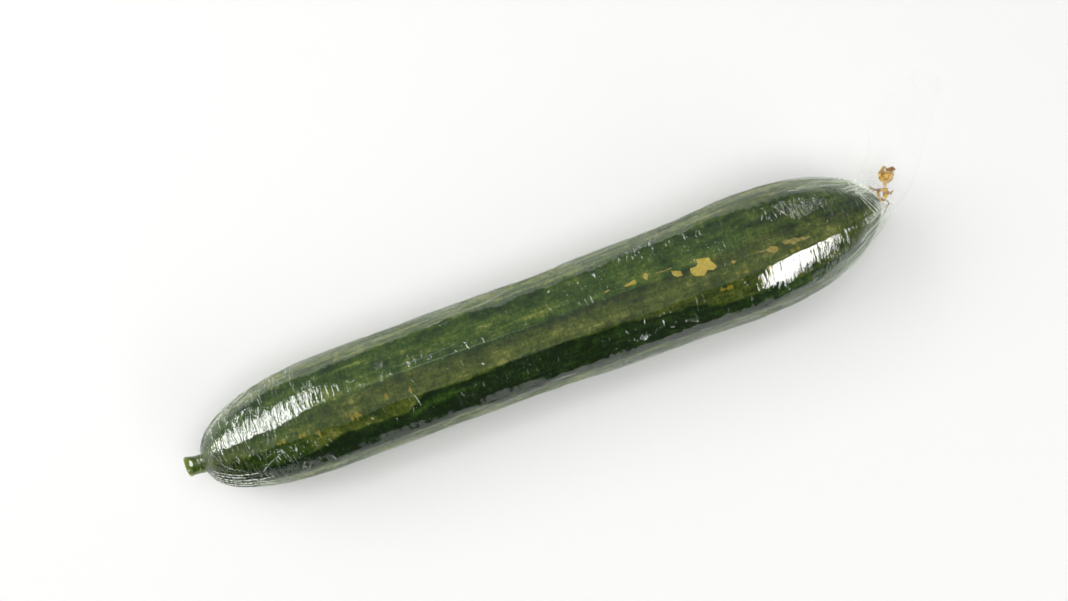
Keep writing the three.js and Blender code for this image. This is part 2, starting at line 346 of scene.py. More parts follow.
# How light the skin is at these angles from the top, from 0, dark green, to 1, pale.
TOP_TONES = [(-40, 0.60), (-20, 0.64), (-12, 0.68), (-5, 0.70), (0, 0.60), (6, 0.56), (11, 0.42),
             (13, 0.64), (22, 0.58), (30, 0.46), (36, 0.58), (42, 0.40), (48, 0.40), (54, 0.66),
             (70, 0.80), (180, 0.45)]
# Darker and lighter patches: mm along, degrees from the top, their reach in both, and how much lighter.
TONE_PATCHES = [(165, 35, 30, 6, -0.20), (145, 9, 30, 9, -0.20), (22, -3, 16, 9, -0.20),
                (145, 28, 36, 6, 0.18), (192, 12, 18, 8, -0.16), (155, 7, 30, 5, -0.12),
                (143, -3, 16, 7, 0.12), (200, -13, 20, 7, -0.16), (72, 37, 9, 1.6, 0.30),
                (128, 31, 26, 5, 0.14)]
# Yellow-brown blotches: mm along, degrees from the top, and their reach in both.
BLOTCHES = [(35.7, -11.6, 3.4, 3.0), (45.3, -12.3, 2.6, 2.6), (51.5, -15, 1.0, 4.5),
            (67.5, -12.4, 3.4, 4.4), (81.8, -4, 0.9, 3.5), (91.6, -6.9, 1.0, 5.0), (243, -21, 3.6, 3.0),
            (232, -11, 3, 1.5), (224, -20, 5, 2.0), (255, -9, 5, 1.2)]


def blot(x, degrees, at_x, at_degrees, reach_x, reach_degrees):
    return hump(x, at_x, reach_x) * hump(degrees, at_degrees, reach_degrees)


def skin_look(x, angle):
    """How light the skin is, how olive rather than green, and how yellow."""
    s, c = math.sin(angle), math.cos(angle)
    wander = 5 * bumps(x / 34, 2 * s, 2 * c)
    wander += 1.6 * bumps(x / 6, 6 * s, 6 * c)
    degrees = math.degrees(angle) + wander * smoothstep(x, 10, 40)
    edge = dark_edge(x)
    tone = piecewise(TOP_TONES, degrees)
    tone += sum(change * blot(x, degrees, *patch) for *patch, change in TONE_PATCHES)
    tone -= 0.22 * fade(x, 38, 54) * smoothstep(-degrees, 10, 20)
    tone -= 0.22 * smoothstep(x, 228, 262) * hump(degrees, 20, 18)
    tone -= 0.16 * fade(x, 105, 135) * smoothstep(x, 78, 92) * hump(degrees, -3, 11)
    tone -= 0.10 * smoothstep(x, 205, 225) * hump(degrees, -24, 10)
    stripe = 0.55 * smoothstep(x, 82, 98) * fade(x, 106, 124) + 0.14 * smoothstep(x, 160, 180)
    dark = stripe * hump(degrees, edge - 7.5, 4.0) + 0.17 * smoothstep(x, 205, 240)
    dark_side = fade(degrees, edge - 1, edge + 2.5)
    tone += (dark - tone) * dark_side
    tone += (0.70 - tone) * fade(degrees, -62, -51)
    cloud = fractal(4, x / 8 + 4, 3.4 * s, 3.4 * c)
    streak = fractal(3, x / 30, 10 * s, 10 * c)
    warm = (1 - dark_side) * fade(degrees, 8, 12) * (1 - 0.8 * hump(x, 34, 16))
    warm += 0.5 * hump(x, 262, 34) * smoothstep(degrees, 8, 14)
    yellow = max(blot(x, math.degrees(angle), *blotch) for blotch in BLOTCHES)
    sides = 0.16 + 0.28 * smoothstep(abs(s), 0.72, 0.85)
    return clamp(tone + 0.23 * cloud + sides * streak), clamp(warm + 0.3 * cloud), yellow


def build_skin():
    count = 248
    places = spread(0.4, LENGTH - 0.8, 0.84, lambda x: 2.2 if x < 12 or x > LENGTH - 10 else 1)
    angles = ring_angles(count, 0.2)
    points, looks = [], []
    for x in places:
        for angle in angles:
            px, radius = inset(x, skin_relief(x, angle), skin_radius)
            points.append(ring_point(px, max(radius, 0.3), angle, 0.3))
            looks.append(skin_look(x, angle))
    for ring, push in ((points[:count], 1.2), (points[-count:], 0.35)):
        middle = [sum(p[axis] for p in ring) / count for axis in range(3)]
        points.append((middle[0] + push, middle[1], middle[2]))
        looks.append((0.6, 0.3, 0.0))
    faces = loft(len(places), count, True, True)
    tone, warm, yellow = zip(*looks)
    return add_mesh("cucumber_skin", points, faces, {"tone": tone, "warm": warm, "yellow": yellow})


# The skin's colours from dark to pale, as (tone, red, green, blue).
GREEN = [(0.0, 0.004, 0.014, 0.0008), (0.28, 0.012, 0.038, 0.0026), (0.55, 0.033, 0.074, 0.0064),
         (0.80, 0.074, 0.116, 0.0130), (1.0, 0.170, 0.215, 0.0400)]
OLIVE = [(0.0, 0.009, 0.016, 0.0012), (0.28, 0.021, 0.036, 0.0034), (0.55, 0.046, 0.070, 0.0072),
         (0.80, 0.090, 0.114, 0.0150), (1.0, 0.190, 0.205, 0.0450)]


def skin_material():
    n = Nodes("cucumber_skin")
    mottle = n.noise(n.place((0.26, 0.36, 0.36), (7, 3, 1)), 5.0, 0.68, 0.5)
    streak = n.noise(n.place((0.05, 1.0, 1.0), (2, 9, 4)), 3.0, 0.6)
    hatch = n.noise(n.place((0.95, 0.28, 0.28)), 2.0, 0.6)
    speckle = n.noise(n.place((0.85, 1.0, 1.0), (1, 5, 3)), 2.0, 0.6)
    lines = n.noise(n.place((0.012, 0.42, 0.42), (4, 4, 9)), 2.0, 0.5)
    line = n.threads(lines, 0.010)
    patch = n.noise(n.place((0.04, 0.2, 0.2), (1, 2, 5)), 1.0, 0.5)
    line = n.times(line, n.range(patch, 0.48, 0.60))

    tone = n.attribute("tone")
    base = tone
    for part, share in ((mottle, 1.20), (streak, 0.42), (hatch, 0.55), (speckle, 0.50)):
        tone = n.plus(tone, n.swing(part, share))
    tone = n.plus(tone, n.times(line, 0.20))
    colour = n.mix(n.attribute("warm"), n.ramp(tone, GREEN), n.ramp(tone, OLIVE))
    dots = n.times(n.range(speckle, 0.64, 0.72), n.range(base, 0.2, 0.7, 0.05, 0.40))
    colour = n.mix(dots, colour, (0.22, 0.25, 0.07, 1))
    fleck = n.plus(n.attribute("yellow"), n.swing(hatch, 2.4))
    colour = n.mix(n.range(fleck, 0.62, 0.80), colour, (0.23, 0.185, 0.016, 1))

    height = n.plus(n.times(mottle, 0.6), n.times(speckle, 0.3), n.times(streak, 0.3))
    return n.principled(colour, 0.5, n.bump(height, 0.0004), {"Specular IOR Level": 0.06})


# ---------- corky scars on the skin

# Their outlines: mm along and mm to +Y of the stem end.
SCARS = [
    [(216.1, 6.0), (221.5, 4.8), (221.6, 3.2), (223.2, 0.1), (221.1, -0.7), (219.1, 0.3), (216.9, -1.5),
     (213.4, -0.5), (212.1, 1.3), (212.6, 3.3), (215.3, 3.2), (216.2, 4.1)],
    [(205.3, 5.0), (207.2, 4.5), (209.0, 3.6), (209.2, 1.8), (206.7, 1.9), (205.5, 3.2)],
    [(194.3, 7.1), (195.5, 8.1), (196.4, 7.1), (195.5, 4.9), (194.2, 5.9)],
    [(185.8, 6.1), (188.6, 6.7), (190.9, 7.1), (191.0, 5.4), (188.3, 5.5), (186.2, 5.4)],
    [(177.2, 6.4), (178.8, 6.9), (180.4, 6.6), (178.9, 6.2)],
    [(199.5, 6.1), (203.0, 5.8), (206.4, 5.9), (206.3, 6.2), (202.8, 6.2), (199.6, 6.5)],
    [(228.2, -0.4), (229.4, 0.4), (231.0, -0.5), (229.6, -1.2)],
    [(238.6, 0.2), (241.2, -0.1), (243.6, -0.3), (245.4, 0.2), (247.9, -0.8), (248.4, -2.2), (246.6, -3.0),
     (244.8, -2.3), (243.2, -1.2), (240.8, -0.7)],
    [(250.2, 0.2), (251.8, 0.7), (253.2, -0.2), (255.4, 0.3), (257.0, -0.7), (259.6, -1.1), (262.4, -1.8),
     (260.6, -2.5), (256.8, -1.9), (254.4, -2.6), (252.8, -1.5), (251.0, -1.0)],
    [(240.6, -7.4), (242.2, -6.6), (243.6, -7.6), (243.2, -9.4), (241.6, -9.8), (241.0, -8.6)],
    [(236.4, -10.2), (238.0, -9.8), (238.4, -10.8), (236.9, -11.1)],
    [(51.0, -5.4), (51.7, -5.4), (52.3, -7.2), (51.6, -7.3)],
    [(81.3, -1.1), (81.9, -1.1), (82.6, -2.6), (82.0, -2.8)],
    [(91.0, -1.9), (91.6, -1.9), (92.2, -3.8), (91.7, -3.9)],
]
# Each scar's rings: their share of the outline, and how far they stand off the skin.
SCAR_RINGS = [(1.0, -0.15), (0.97, 0.05), (0.85, 0.09), (0.6, 0.08), (0.3, 0.10)]
GOLDEN_SCARS, BRIGHT_SCARS = 1, 5  # the first is golden, the next four a little duller, the rest greenish


def skin_height(x, y):
    """The top of the skin at this place, seen from above."""
    side = y - centre_y(x)
    angle = math.asin(clamp(side / film_radius(x), -1, 1))
    radius = film_radius(x) - skin_relief(x, angle)
    return centre_z(x) + math.sqrt(max(radius ** 2 - side ** 2, 0))


def build_scars():
    """Flat sharp-edged patches, each with a raised middle and an edge that dips into the skin."""
    points, faces, dull = [], [], []
    for number, outline in enumerate(SCARS):
        cx = sum(p[0] for p in outline) / len(outline)
        cy = sum(p[1] for p in outline) / len(outline)
        edge = []
        for i, (ax, ay) in enumerate(outline):
            bx, by = outline[(i + 1) % len(outline)]
            steps = max(2, int(math.hypot(bx - ax, by - ay) / 0.4))
            for k in range(steps):
                u = k / steps
                wobble = 0.22 * bumps(i * 3.7 + k * 0.9, number * 5.1, 0.5)
                edge.append((ax + (bx - ax) * u + wobble, ay + (by - ay) * u + wobble))
        start = len(points)
        for share, lift in SCAR_RINGS:
            for ex, ey in edge:
                x, y = cx + (ex - cx) * share, cy + (ey - cy) * share
                grain = 0.03 * bumps(x * 1.6, y * 1.6, 3)
                points.append((x, y, skin_height(x, y) + lift + grain))
        points.append((cx, cy, skin_height(cx, cy) + 0.1))
        total = len(edge)
        for row in range(len(SCAR_RINGS) - 1):
            base = start + row * total
            for i in range(total):
                j = (i + 1) % total
                faces.append((base + i, base + j, base + total + j, base + total + i))
        last = start + (len(SCAR_RINGS) - 1) * total
        faces += [(last + i, last + (i + 1) % total, last + total) for i in range(total)]
        dullness = 1.0 if number >= BRIGHT_SCARS else 0.3 if number >= GOLDEN_SCARS else 0.0
        dull += [dullness] * (len(points) - len(dull))
    return add_mesh("skin_scars", points, faces, {"dull": dull})


def scar_material():
    n = Nodes("corky_scar")
    grain = n.noise(n.place((0.9, 0.9, 0.9)), 4.0, 0.6)
    colour = n.mix(n.range(grain, 0.35, 0.65), (0.35, 0.25, 0.004, 1), (0.45, 0.35, 0.014, 1))
    patchy = n.range(n.noise(n.place((0.8, 0.8, 0.8), (2, 4, 1)), 3.0, 0.6), 0.38, 0.58, 0.25, 1.0)
    greenish = n.mix(patchy, (0.075, 0.095, 0.005, 1), (0.28, 0.21, 0.006, 1))
    colour = n.mix(n.attribute("dull"), colour, greenish)
    return n.principled(colour, 0.6, n.bump(grain, 0.0002))


# ---------- the film

# The tail from the dome to its cut: its middle's mm along, to +Y and up from the fruit's tip, its half width
# and half depth, and how square it is, where 2 is an ellipse.
TAIL = [
    (-14, 0, 0, 16.6, 16.6, 2),
    (-3.5, 3.2, -1.9, 11, 10.5, 2),
    (7.5, 9.6, -7.9, 11.2, 6.4, 2.2),
    (18, 20.5, -14.9, 11, 3.2, 2.5),
    (29, 32, -19.9, 10, 1.2, 3),
    (43, 43, -22.9, 6.4, 0.45, 3),
]


def catmull(values, t):
    """A uniform Catmull-Rom curve through the rows of values."""
    last = len(values) - 1
    place = clamp(t) * last
    i = min(int(place), last - 1)
    u = place - i
    p1, p2 = values[i], values[i + 1]
    p0 = values[i - 1] if i > 0 else [2 * a - b for a, b in zip(p1, p2)]
    p3 = values[i + 2] if i + 2 <= last else [2 * b - a for a, b in zip(p1, p2)]
    return [0.5 * (2 * b + (c - a) * u + (2 * a - 5 * b + 4 * c - d) * u * u
                   + (3 * b - a - 3 * c + d) * u ** 3)
            for a, b, c, d in zip(p0, p1, p2, p3)]


def wrinkle_strength(x, angle):
    """Where the film is gathered: 1 is the most."""
    side = math.sin(angle)
    stem_end = fade(x, 22, 66)
    tip_end = smoothstep(x, 252, 286)
    shoulder = 0.6 * hump(x, 205, 24) * smoothstep(side, 0.45, 0.8)
    return clamp(0.08 + 0.92 * stem_end + 0.6 * tip_end + shoulder)


def pleat_strength(x, angle):
    """Where the film has folds that run lengthwise."""
    degrees = math.degrees(angle)
    sides = smoothstep(abs(degrees), 42, 56) * fade(abs(degrees), 100, 120)
    return sides * (0.30 + 0.3 * fade(x, 22, 46))


def pale_strength(x, angle):
    """Where layers of film make it milky: on the sides of both ends."""
    from_side = 0.55 - 0.40 * smoothstep(x, 278, 292)
    sides = smoothstep(abs(math.sin(angle)), from_side, from_side + 0.3)
    tip = 1.3 * smoothstep(x, 255, 284) * fade(x, 292, 298)
    return sides * (tip + 0.45 * fade(x, 10, 34) * smoothstep(x, 0, 4))


def film_depth(x, angle):
    """How far the film lies inside its outer outline, in mm. It is never negative."""
    strength = wrinkle_strength(x, angle)
    s, c = math.sin(angle), math.cos(angle)
    teeth = bumps(x / 0.9, 4 * s, 4 * c) + bumps(x / 2.6, 4 * s, 4 * c + 3)
    sides = smoothstep(abs(s), 0.5, 0.7)
    teeth += (1.1 if s > 0 else 0.4) * sides * bumps(x / 1.7, 3 * s, 3 * c + 9)
    teeth *= 0.8 + 3.6 * max(strength, 0.7 * sides)
    shifted = angle + crest_drift(x, angle) + math.radians(teeth)
    warp = 1.6 * bumps(x / 14, 2.2 * s, 2.2 * c)
    fine = bumps((x + warp) / 1.1, 3.4 * s, 3.4 * c)
    broad = bumps((x + 2 * warp) / 3.0, 2.4 * s + 7, 2.4 * c)
    slow = bumps(x / 26, 2.7 * s, 2.7 * c + 5)
    relief = 0.08 * (fine + 0.8) + 0.10 * (broad + 0.8)
    depth = strip_depth(x, shifted) + strength * relief + 0.03 * (slow + 0.8)
    return min(depth, skin_relief(x, angle) - 0.08)


def tail_frame(t):
    """The tail's middle at t, from 0 at the dome to 1 at the cut, with its directions and half sizes."""
    here = catmull(TAIL, t)
    ahead = catmull(TAIL, min(t + 0.002, 1))
    behind = catmull(TAIL, max(t - 0.002, 0))
    along = (Vector(ahead[:3]) - Vector(behind[:3])).normalized()
    turn = smoothstep(t, 0, 0.12)
    along = (along * turn + Vector((1, 0, 0)) * (1 - turn)).normalized()
    across = Vector((0, 0, 1)).cross(along).normalized()
    middle = Vector((LENGTH + here[0], centre_y(LENGTH) + here[1], centre_z(LENGTH) + here[2]))
    return middle, across, along.cross(across), here[3], here[4], here[5]


def tail_point(t, angle, tail, lift=0.0):
    """A point of the tail's film, raised by lift mm."""
    middle, across, up, half_width, half_depth, square = tail
    s, c = math.sin(angle), math.cos(angle)
    w = half_width * math.copysign(abs(s) ** (2 / square), s)
    if s > 0:
        w += 5 * hump(t, 0.66, 0.08) * s * s
    h = half_depth * math.copysign(abs(c) ** (2 / square), c)
    fold = 0.5 * smoothstep(t, 0.35, 0.8) * math.sin(2 * math.pi * w / 6.5 + 5 * t)
    away = across * w + up * (h + fold)
    size = max(away.length, 0.01)
    neck = fade(t, 0.22, 0.36)
    crease = 0.5 + 0.5 * bumps(20 * t, 5 * s, 5 * c)
    ripple = 0.5 + 0.5 * bumps(62 * t + 2 * s, 1.5 * s, 1.5 * c)
    depth = 0.30 * crease + 0.22 * neck * ripple + 0.25 * fade(t, 0, 0.06)
    point = middle + away * (1 - (min(depth, 0.2 * size) - lift) / size)
    point.z = max(point.z, 0.05)
    return point


# What the film's points carry: how gathered it is, how little it shines (on the tail and the collar), its
# mm along and degrees from the top, how strong its lengthwise folds are, and how milky it is.
FILM_LOOKS = ("gather", "tail", "along", "around", "pleat", "pale")


def build_film():
    count = 120
    angles = ring_angles(count, 0.25)
    places = spread(COLLAR_END, FILM_END, 0.42)
    points, looks = [], []
    for x in places:
        for angle in angles:
            px, radius = inset(x, film_depth(x, angle)) if x > 0.5 else (x, film_radius(x) - 0.1)
            points.append(ring_point(px, radius, angle, 0.02))
            looks.append((wrinkle_strength(x, angle), 0.9 * fade(x, -0.2, 1.2), x, math.degrees(angle),
                          pleat_strength(x, angle), pale_strength(x, angle)))
    steps = 100
    for k in range(1, steps + 1):
        t = k / steps
        x = FILM_END + TAIL_LENGTH * t
        tail = tail_frame(t)
        for angle in angles:
            points.append(tuple(tail_point(t, angle, tail)))
            looks.append((1.0, smoothstep(t, 0.16, 0.36), x, math.degrees(angle), 0.25,
                          pale_strength(x, angle)))
    faces = loft(len(places) + steps, count)
    return add_mesh("shrink_wrap", points, faces, dict(zip(FILM_LOOKS, zip(*looks))))


def film_point(x, angle, lift):
    """A point on the film, raised by lift mm, but never out of its outline."""
    px, radius = inset(x, max(film_depth(x, angle) - lift, 0.01))
    return Vector(ring_point(px, radius, angle, 0.02))


# Creases scattered over the film: how many, where along the fruit, between which angles from the top, how
# long, how far they turn from straight across in degrees, how wide, and their painted glint, partly a real
# milky fold, or painted shade of a fold if negative.
CREASE_FIELDS = [
    (26, (6, 48), (0, 16), (1.6, 4.6), 12, 0.34, 0.7),
    (30, (8, 58), (12, 40), (1.6, 5.0), 16, 0.32, 0.7),
    (16, (6, 60), (-34, -2), (0.9, 3.2), 40, 0.28, 0.8),
    (40, (6, 50), (40, 80), (3.0, 9.0), 14, 0.34, 0.8),
    (26, (2, 30), (50, 80), (3.0, 7.0), 66, 0.75, 1.0),
    (26, (2, 30), (50, 80), (3.0, 7.0), 66, 0.65, -1.0),
    (30, (60, 280), (48, 60), (0.8, 2.4), 40, 0.34, -0.8),
    (30, (60, 280), (-58, -46), (0.8, 2.4), 40, 0.34, -0.8),
    (26, (14, 60), (-78, -44), (1.5, 5.0), 35, 0.34, 0.9),
    (28, (188, 222), (38, 54), (1.0, 3.6), 50, 0.30, 0.9),
    (10, (140, 188), (44, 56), (0.8, 2.6), 50, 0.28, 0.8),
    (9, (62, 140), (-50, 60), (0.8, 2.6), 30, 0.26, 0.6),
    (20, (246, 274), (20, 36), (1.5, 4.5), 25, 0.32, 0.9),
    (16, (236, 282), (-36, -6), (0.9, 2.4), 40, 0.28, 0.7),
    (16, (150, 280), (-60, 70), (0.8, 2.2), 50, 0.24, 0.6),
    (40, (50, 280), (50, 78), (3.0, 12.0), 84, 0.70, 0.45),
    (34, (50, 280), (50, 74), (3.0, 12.0), 84, 0.60, -0.5),
    (40, (50, 280), (-78, -50), (3.0, 12.0), 96, 0.70, 0.45),
    (34, (50, 280), (-74, -50), (3.0, 12.0), 96, 0.60, -0.5),
    (120, (10, 280), (82, 278), (1.5, 6.0), 30, 0.32, 0.6),
]


def scattered_creases():
    dice = random.Random(11)
    for number, along, around, lengths, turn, width, painted_glint_shade in CREASE_FIELDS:
        for _ in range(number):
            lean = turn + dice.gauss(0, 6) if turn > 60 else dice.gauss(0, 0.6) * turn
            yield (dice.uniform(*along), math.radians(dice.uniform(*around)), dice.uniform(*lengths),
                   math.radians(lean), width * dice.uniform(0.7, 1.3), painted_glint_shade * dice.uniform(0.6, 1.0))


# Single creases that stand out: both ends, as (mm along, degrees from the top), how wide, and how much
# painted glint they carry, partly a real milky fold.
LONG_CREASES = [
    ((34, 8.5), (58, 12.0), 0.26, 0.7),
    ((58, 12.0), (148, 11.0), 0.16, 0.35),
    ((88, 19.5), (113, 19.3), 0.22, 0.35),
    ((11.5, -40), (9.6, -62), 0.36, 1.0),
    ((9, -12), (16, -30), 0.30, 0.8),
    ((33, -24), (24, -40), 0.34, 1.0),
    ((118.9, 18.2), (119.7, 10.1), 0.34, 1.0),
    ((125.5, 17.2), (125.8, 10.7), 0.32, 1.0),
    ((114.0, 14.2), (114.4, 12.0), 0.34, 1.0),
    ((122.0, -6.8), (123.0, -8.6), 0.60, 1.0),
    ((92.4, -12), (93.4, -26), 0.36, 1.0),
    ((73.2, -19), (73.8, -23), 0.36, 1.0),
    ((34.0, -18), (36.0, -24), 0.32, 1.0),
]


def stem_end_folds(dice):
    """Folds beside each other along the -Y edge of the stem end, by turns a painted glint and a painted
    shade.
    """
    for number in range(11):
        inwards = 0.45 + 0.66 * number + dice.uniform(-0.10, 0.10)
        start = 1.0 + 0.25 * number + dice.uniform(0, 1.5)
        end = min(start + dice.uniform(13, 24), 34)
        phase = dice.uniform(0, 9)
        row = []
        for k in range(41):
            x = start + (end - start) * k / 40
            radius = film_radius(x)
            q = inwards + 0.35 * bumps(phase, x / 4, 0) + 0.03 * (x - start)
            half = 0.27 * math.sin(math.pi * (0.05 + 0.9 * k / 40)) ** 0.6
            row.append([tuple(film_point(x, -math.asin(clamp(1 - (q + offset) / radius)), lift))
                        for offset, lift in ((-half, 0.01), (0, 0.15), (half, 0.01))])
        # Odd folds carry a painted glint, even ones a painted shade.
        yield row, 1.3 if number % 2 else -1.3


def neck_creases(dice):
    """Folds round the tip, where the film narrows to its tail, that draw together on the -Y side."""
    for number in range(10):
        start = 0.040 + 0.0110 * number + dice.uniform(-0.003, 0.003)
        end = 0.125 + 0.090 * number / 9 + dice.uniform(-0.006, 0.006)
        first, last = math.radians(dice.uniform(66, 84)), math.radians(dice.uniform(-58, -36))
        steps = 40
        row = []
        for k in range(steps + 1):
            u = k / steps
            t = start + (end - start) * u ** 1.3 + 0.002 * math.sin(5 * u + number)
            angle = first + (last - first) * u
            half = 0.0030 * math.sin(math.pi * (0.05 + 0.9 * u)) ** 0.5 * dice.uniform(0.85, 1.15)
            row.append([tuple(tail_point(t + offset, angle, tail_frame(t + offset), lift))
                        for offset, lift in ((-half, 0.01), (0, 0.2), (half, 0.01))])
        yield row


def surface_crease(start, end, width, dice):
    """The cross rows of one crease on the film over the fruit, between two (mm along, angle) places."""
    (xa, aa), (xb, ab) = start, end
    radius = max(film_radius(clamp((xa + xb) / 2, 0, FILM_END)), 4)
    length = math.hypot(xb - xa, (ab - aa) * radius)
    steps = max(5, int(length / 0.9))
    bow = dice.gauss(0, 0.07) * min(length, 8)
    phase = dice.uniform(0, 9)
    side_x = -(ab - aa) * radius / length
    side_a = (xb - xa) / length / radius
    row = []
    for k in range(steps + 1):
        u = k / steps
        shift = bow * math.sin(math.pi * u) + 0.12 * bumps(phase, u * length / 1.2, 0)
        x = xa + (xb - xa) * u + side_x * shift
        angle = aa + (ab - aa) * u + side_a * shift
        half = width / 2 * math.sin(math.pi * (0.06 + 0.88 * u)) ** 0.6
        row.append([tuple(film_point(clamp(x + side_x * offset, 0.8, FILM_END - 0.5),
                                     angle + side_a * offset, lift))
                    for offset, lift in ((-half, 0.01), (0, 0.05 + 0.35 * half), (half, 0.01))])
    return row


def build_creases():
    """Thin folds standing up from the film, each with a ridge along its middle."""
    dice = random.Random(5)
    rows = []
    for x, angle, length, lean, width, painted_glint_shade in scattered_creases():
        dx, arc = length / 2 * math.sin(lean), length / 2 * math.cos(lean)
        turn = arc / max(film_radius(clamp(x, 0, FILM_END)), 4)
        rows.append((surface_crease((x - dx, angle - turn), (x + dx, angle + turn), width, dice), painted_glint_shade))
    for start, end, width, painted_glint_shade in LONG_CREASES:
        (xa, aa), (xb, ab) = [(x, math.radians(degrees)) for x, degrees in (start, end)]
        rows.append((surface_crease((xa, aa), (xb, ab), width, dice), painted_glint_shade))
    # The folds round the neck carry a painted glint.
    rows += [(row, 0.8) for row in neck_creases(dice)]
    rows += list(stem_end_folds(dice))
    points, faces, painted_glint_shades = [], [], []
    # Each crease's value goes to its points: a painted glint, or a painted shade where it is negative.
    for row, painted_glint_shade in rows:
        start = len(points)
        for three in row:
            points += three
            painted_glint_shades += [painted_glint_shade] * 3
        for k in range(len(row) - 1):
            base = start + 3 * k
            faces.append((base, base + 3, base + 4, base + 1))
            faces.append((base + 1, base + 4, base + 5, base + 2))
    return add_mesh("film_creases", points, faces, {"painted_glint_shade": painted_glint_shades})


MILK = (0.82, 0.92, 0.76, 1)
FACING_SHINE, GRAZING_SHINE = 0.08, 0.91  # what the film mirrors face on, and what a low angle adds


def film_shader(n, shine_scale, haze, normal, gloss_rough, milk_colour=MILK):
    """Clear film: it mirrors more at a low angle, lets the rest through, and scatters a little."""
    gloss = n.add("ShaderNodeBsdfGlossy", {"Color": (1, 1, 1, 1), "Roughness": gloss_rough})
    clear = n.add("ShaderNodeBsdfTransparent", {"Color": (1, 1, 1, 1)})
    weight = n.add("ShaderNodeLayerWeight", {"Blend": 0.5})
    if normal:
        n.put(gloss, "Normal", normal)
        n.put(weight, "Normal", normal)
    facing = weight.outputs["Facing"]
    shine = n.plus(n.times(n.math("POWER", facing, 7.0), GRAZING_SHINE), FACING_SHINE)
    if shine_scale:
        shine = n.times(shine, shine_scale)
    glass = n.add("ShaderNodeMixShader", {0: shine, 1: clear.outputs[0], 2: gloss.outputs[0]})
    milk = n.add("ShaderNodeBsdfDiffuse", {"Color": milk_colour})
    haze = n.plus(n.times(n.range(facing, 0.35, 1.0), 0.025), haze)
    return n.add("ShaderNodeMixShader", {0: haze, 1: glass.outputs[0], 2: milk.outputs[0]})


def film_material():
    n = Nodes("clear_film")
    gather = n.attribute("gather")
    tail = n.attribute("tail")
    strokes = n.noise(n.place((0.85, 0.13, 0.13)), 2.0, 0.5, 0.4)
    ripple = n.noise(n.place((1.3, 0.45, 0.45), (3, 1, 8)), 2.0, 0.5, 0.3)
    lines = n.noise(n.place((0.50, 0.085, 0.085), (9, 4, 2)), 1.0, 0.5, 0.5)
    ridge = n.threads(lines, 0.022)
    patch = n.noise(n.place((0.12, 0.16, 0.16), (1, 8, 5)), 1.0, 0.5)
    ridge = n.times(ridge, n.range(patch, 0.45, 0.56))
    height = n.plus(strokes, n.times(ripple, 0.45), n.times(ridge, 0.14))
    height = n.times(height, n.plus(0.05, gather))
    strand = n.add("ShaderNodeCombineXYZ", {"X": n.times(n.attribute("along"), 0.05),
                                            "Y": n.times(n.attribute("around"), 0.21)})
    pleats = n.noise(strand.outputs[0], 2.0, 0.5, 0.3)
    height = n.plus(height, n.times(pleats, n.times(n.attribute("pleat"), 1.3)))
    normal = n.bump(height, 0.00045)
    # A pale haze along the crease lines: a painted glint, partly a real milky crease.
    crease = n.times(ridge, n.times(n.plus(0.1, gather), 0.16))
    haze = n.times(crease, n.range(tail, 0, 1, 1.0, 0.16))
    haze = n.plus(haze, n.times(n.attribute("pale"), n.range(pleats, 0.35, 0.65, 0.10, 0.34)))
    return n.finish(film_shader(n, n.range(tail, 0, 1, 1.0, 0.05), haze, normal, 0.02))


def crease_material():
    n = Nodes("creased_film")
    # These folds are painted: a pale diffuse stands in for a fold's glint, partly a real milky fold, and a
    # dark green one, where the value is negative, for its shade.
    sparkle = n.noise(n.place((1.2, 1.2, 1.2)), 2.0, 0.5)
    painted_glint_shade = n.attribute("painted_glint_shade")
    # How much of the painted glint or painted shade covers each crease, patchy along it.
    haze = n.times(n.range(sparkle, 0.36, 0.62, 0.08, 0.75), n.math("ABSOLUTE", painted_glint_shade))
    # Painted shade colour for dark folds, painted glint colour for light ones.
    colour = n.mix(n.range(painted_glint_shade, -0.1, 0.1), (0.012, 0.030, 0.008, 1), (0.88, 0.94, 0.80, 1))
    return n.finish(film_shader(n, None, haze, None, 0.08, colour))


# ---------- the stem stub

# The stem from its root in the fruit to the rim of its cut end: mm along and radius.
STEM = [(4.4, 3.2), (1.6, 3.5), (0.9, 3.8), (-0.6, 3.95), (-2.4, 3.85), (-4.4, 3.95), (-5.8, 4.25),
        (-6.7, 4.20), (-7.1, 3.7)]
CUT_RADIUS = 3.6
# The rings of the cut end: their share of its radius, and how deep they lie.
CUT_RINGS = [(0.96, -0.05), (0.9, 0.08), (0.78, 0.22), (0.62, 0.18), (0.45, 0.26), (0.28, 0.2), (0.12, 0.3)]


def stem_point(x, radius, angle):
    bend = smoothstep(-x, 0, 7.3)
    cut = 0.06 * radius * math.cos(angle) if x < -5 else 0
    return (x + cut,
            centre_y(max(x, 0)) + 0.9 * bend + radius * math.sin(angle),
            centre_z(0) + 0.5 * bend + radius * math.cos(angle))


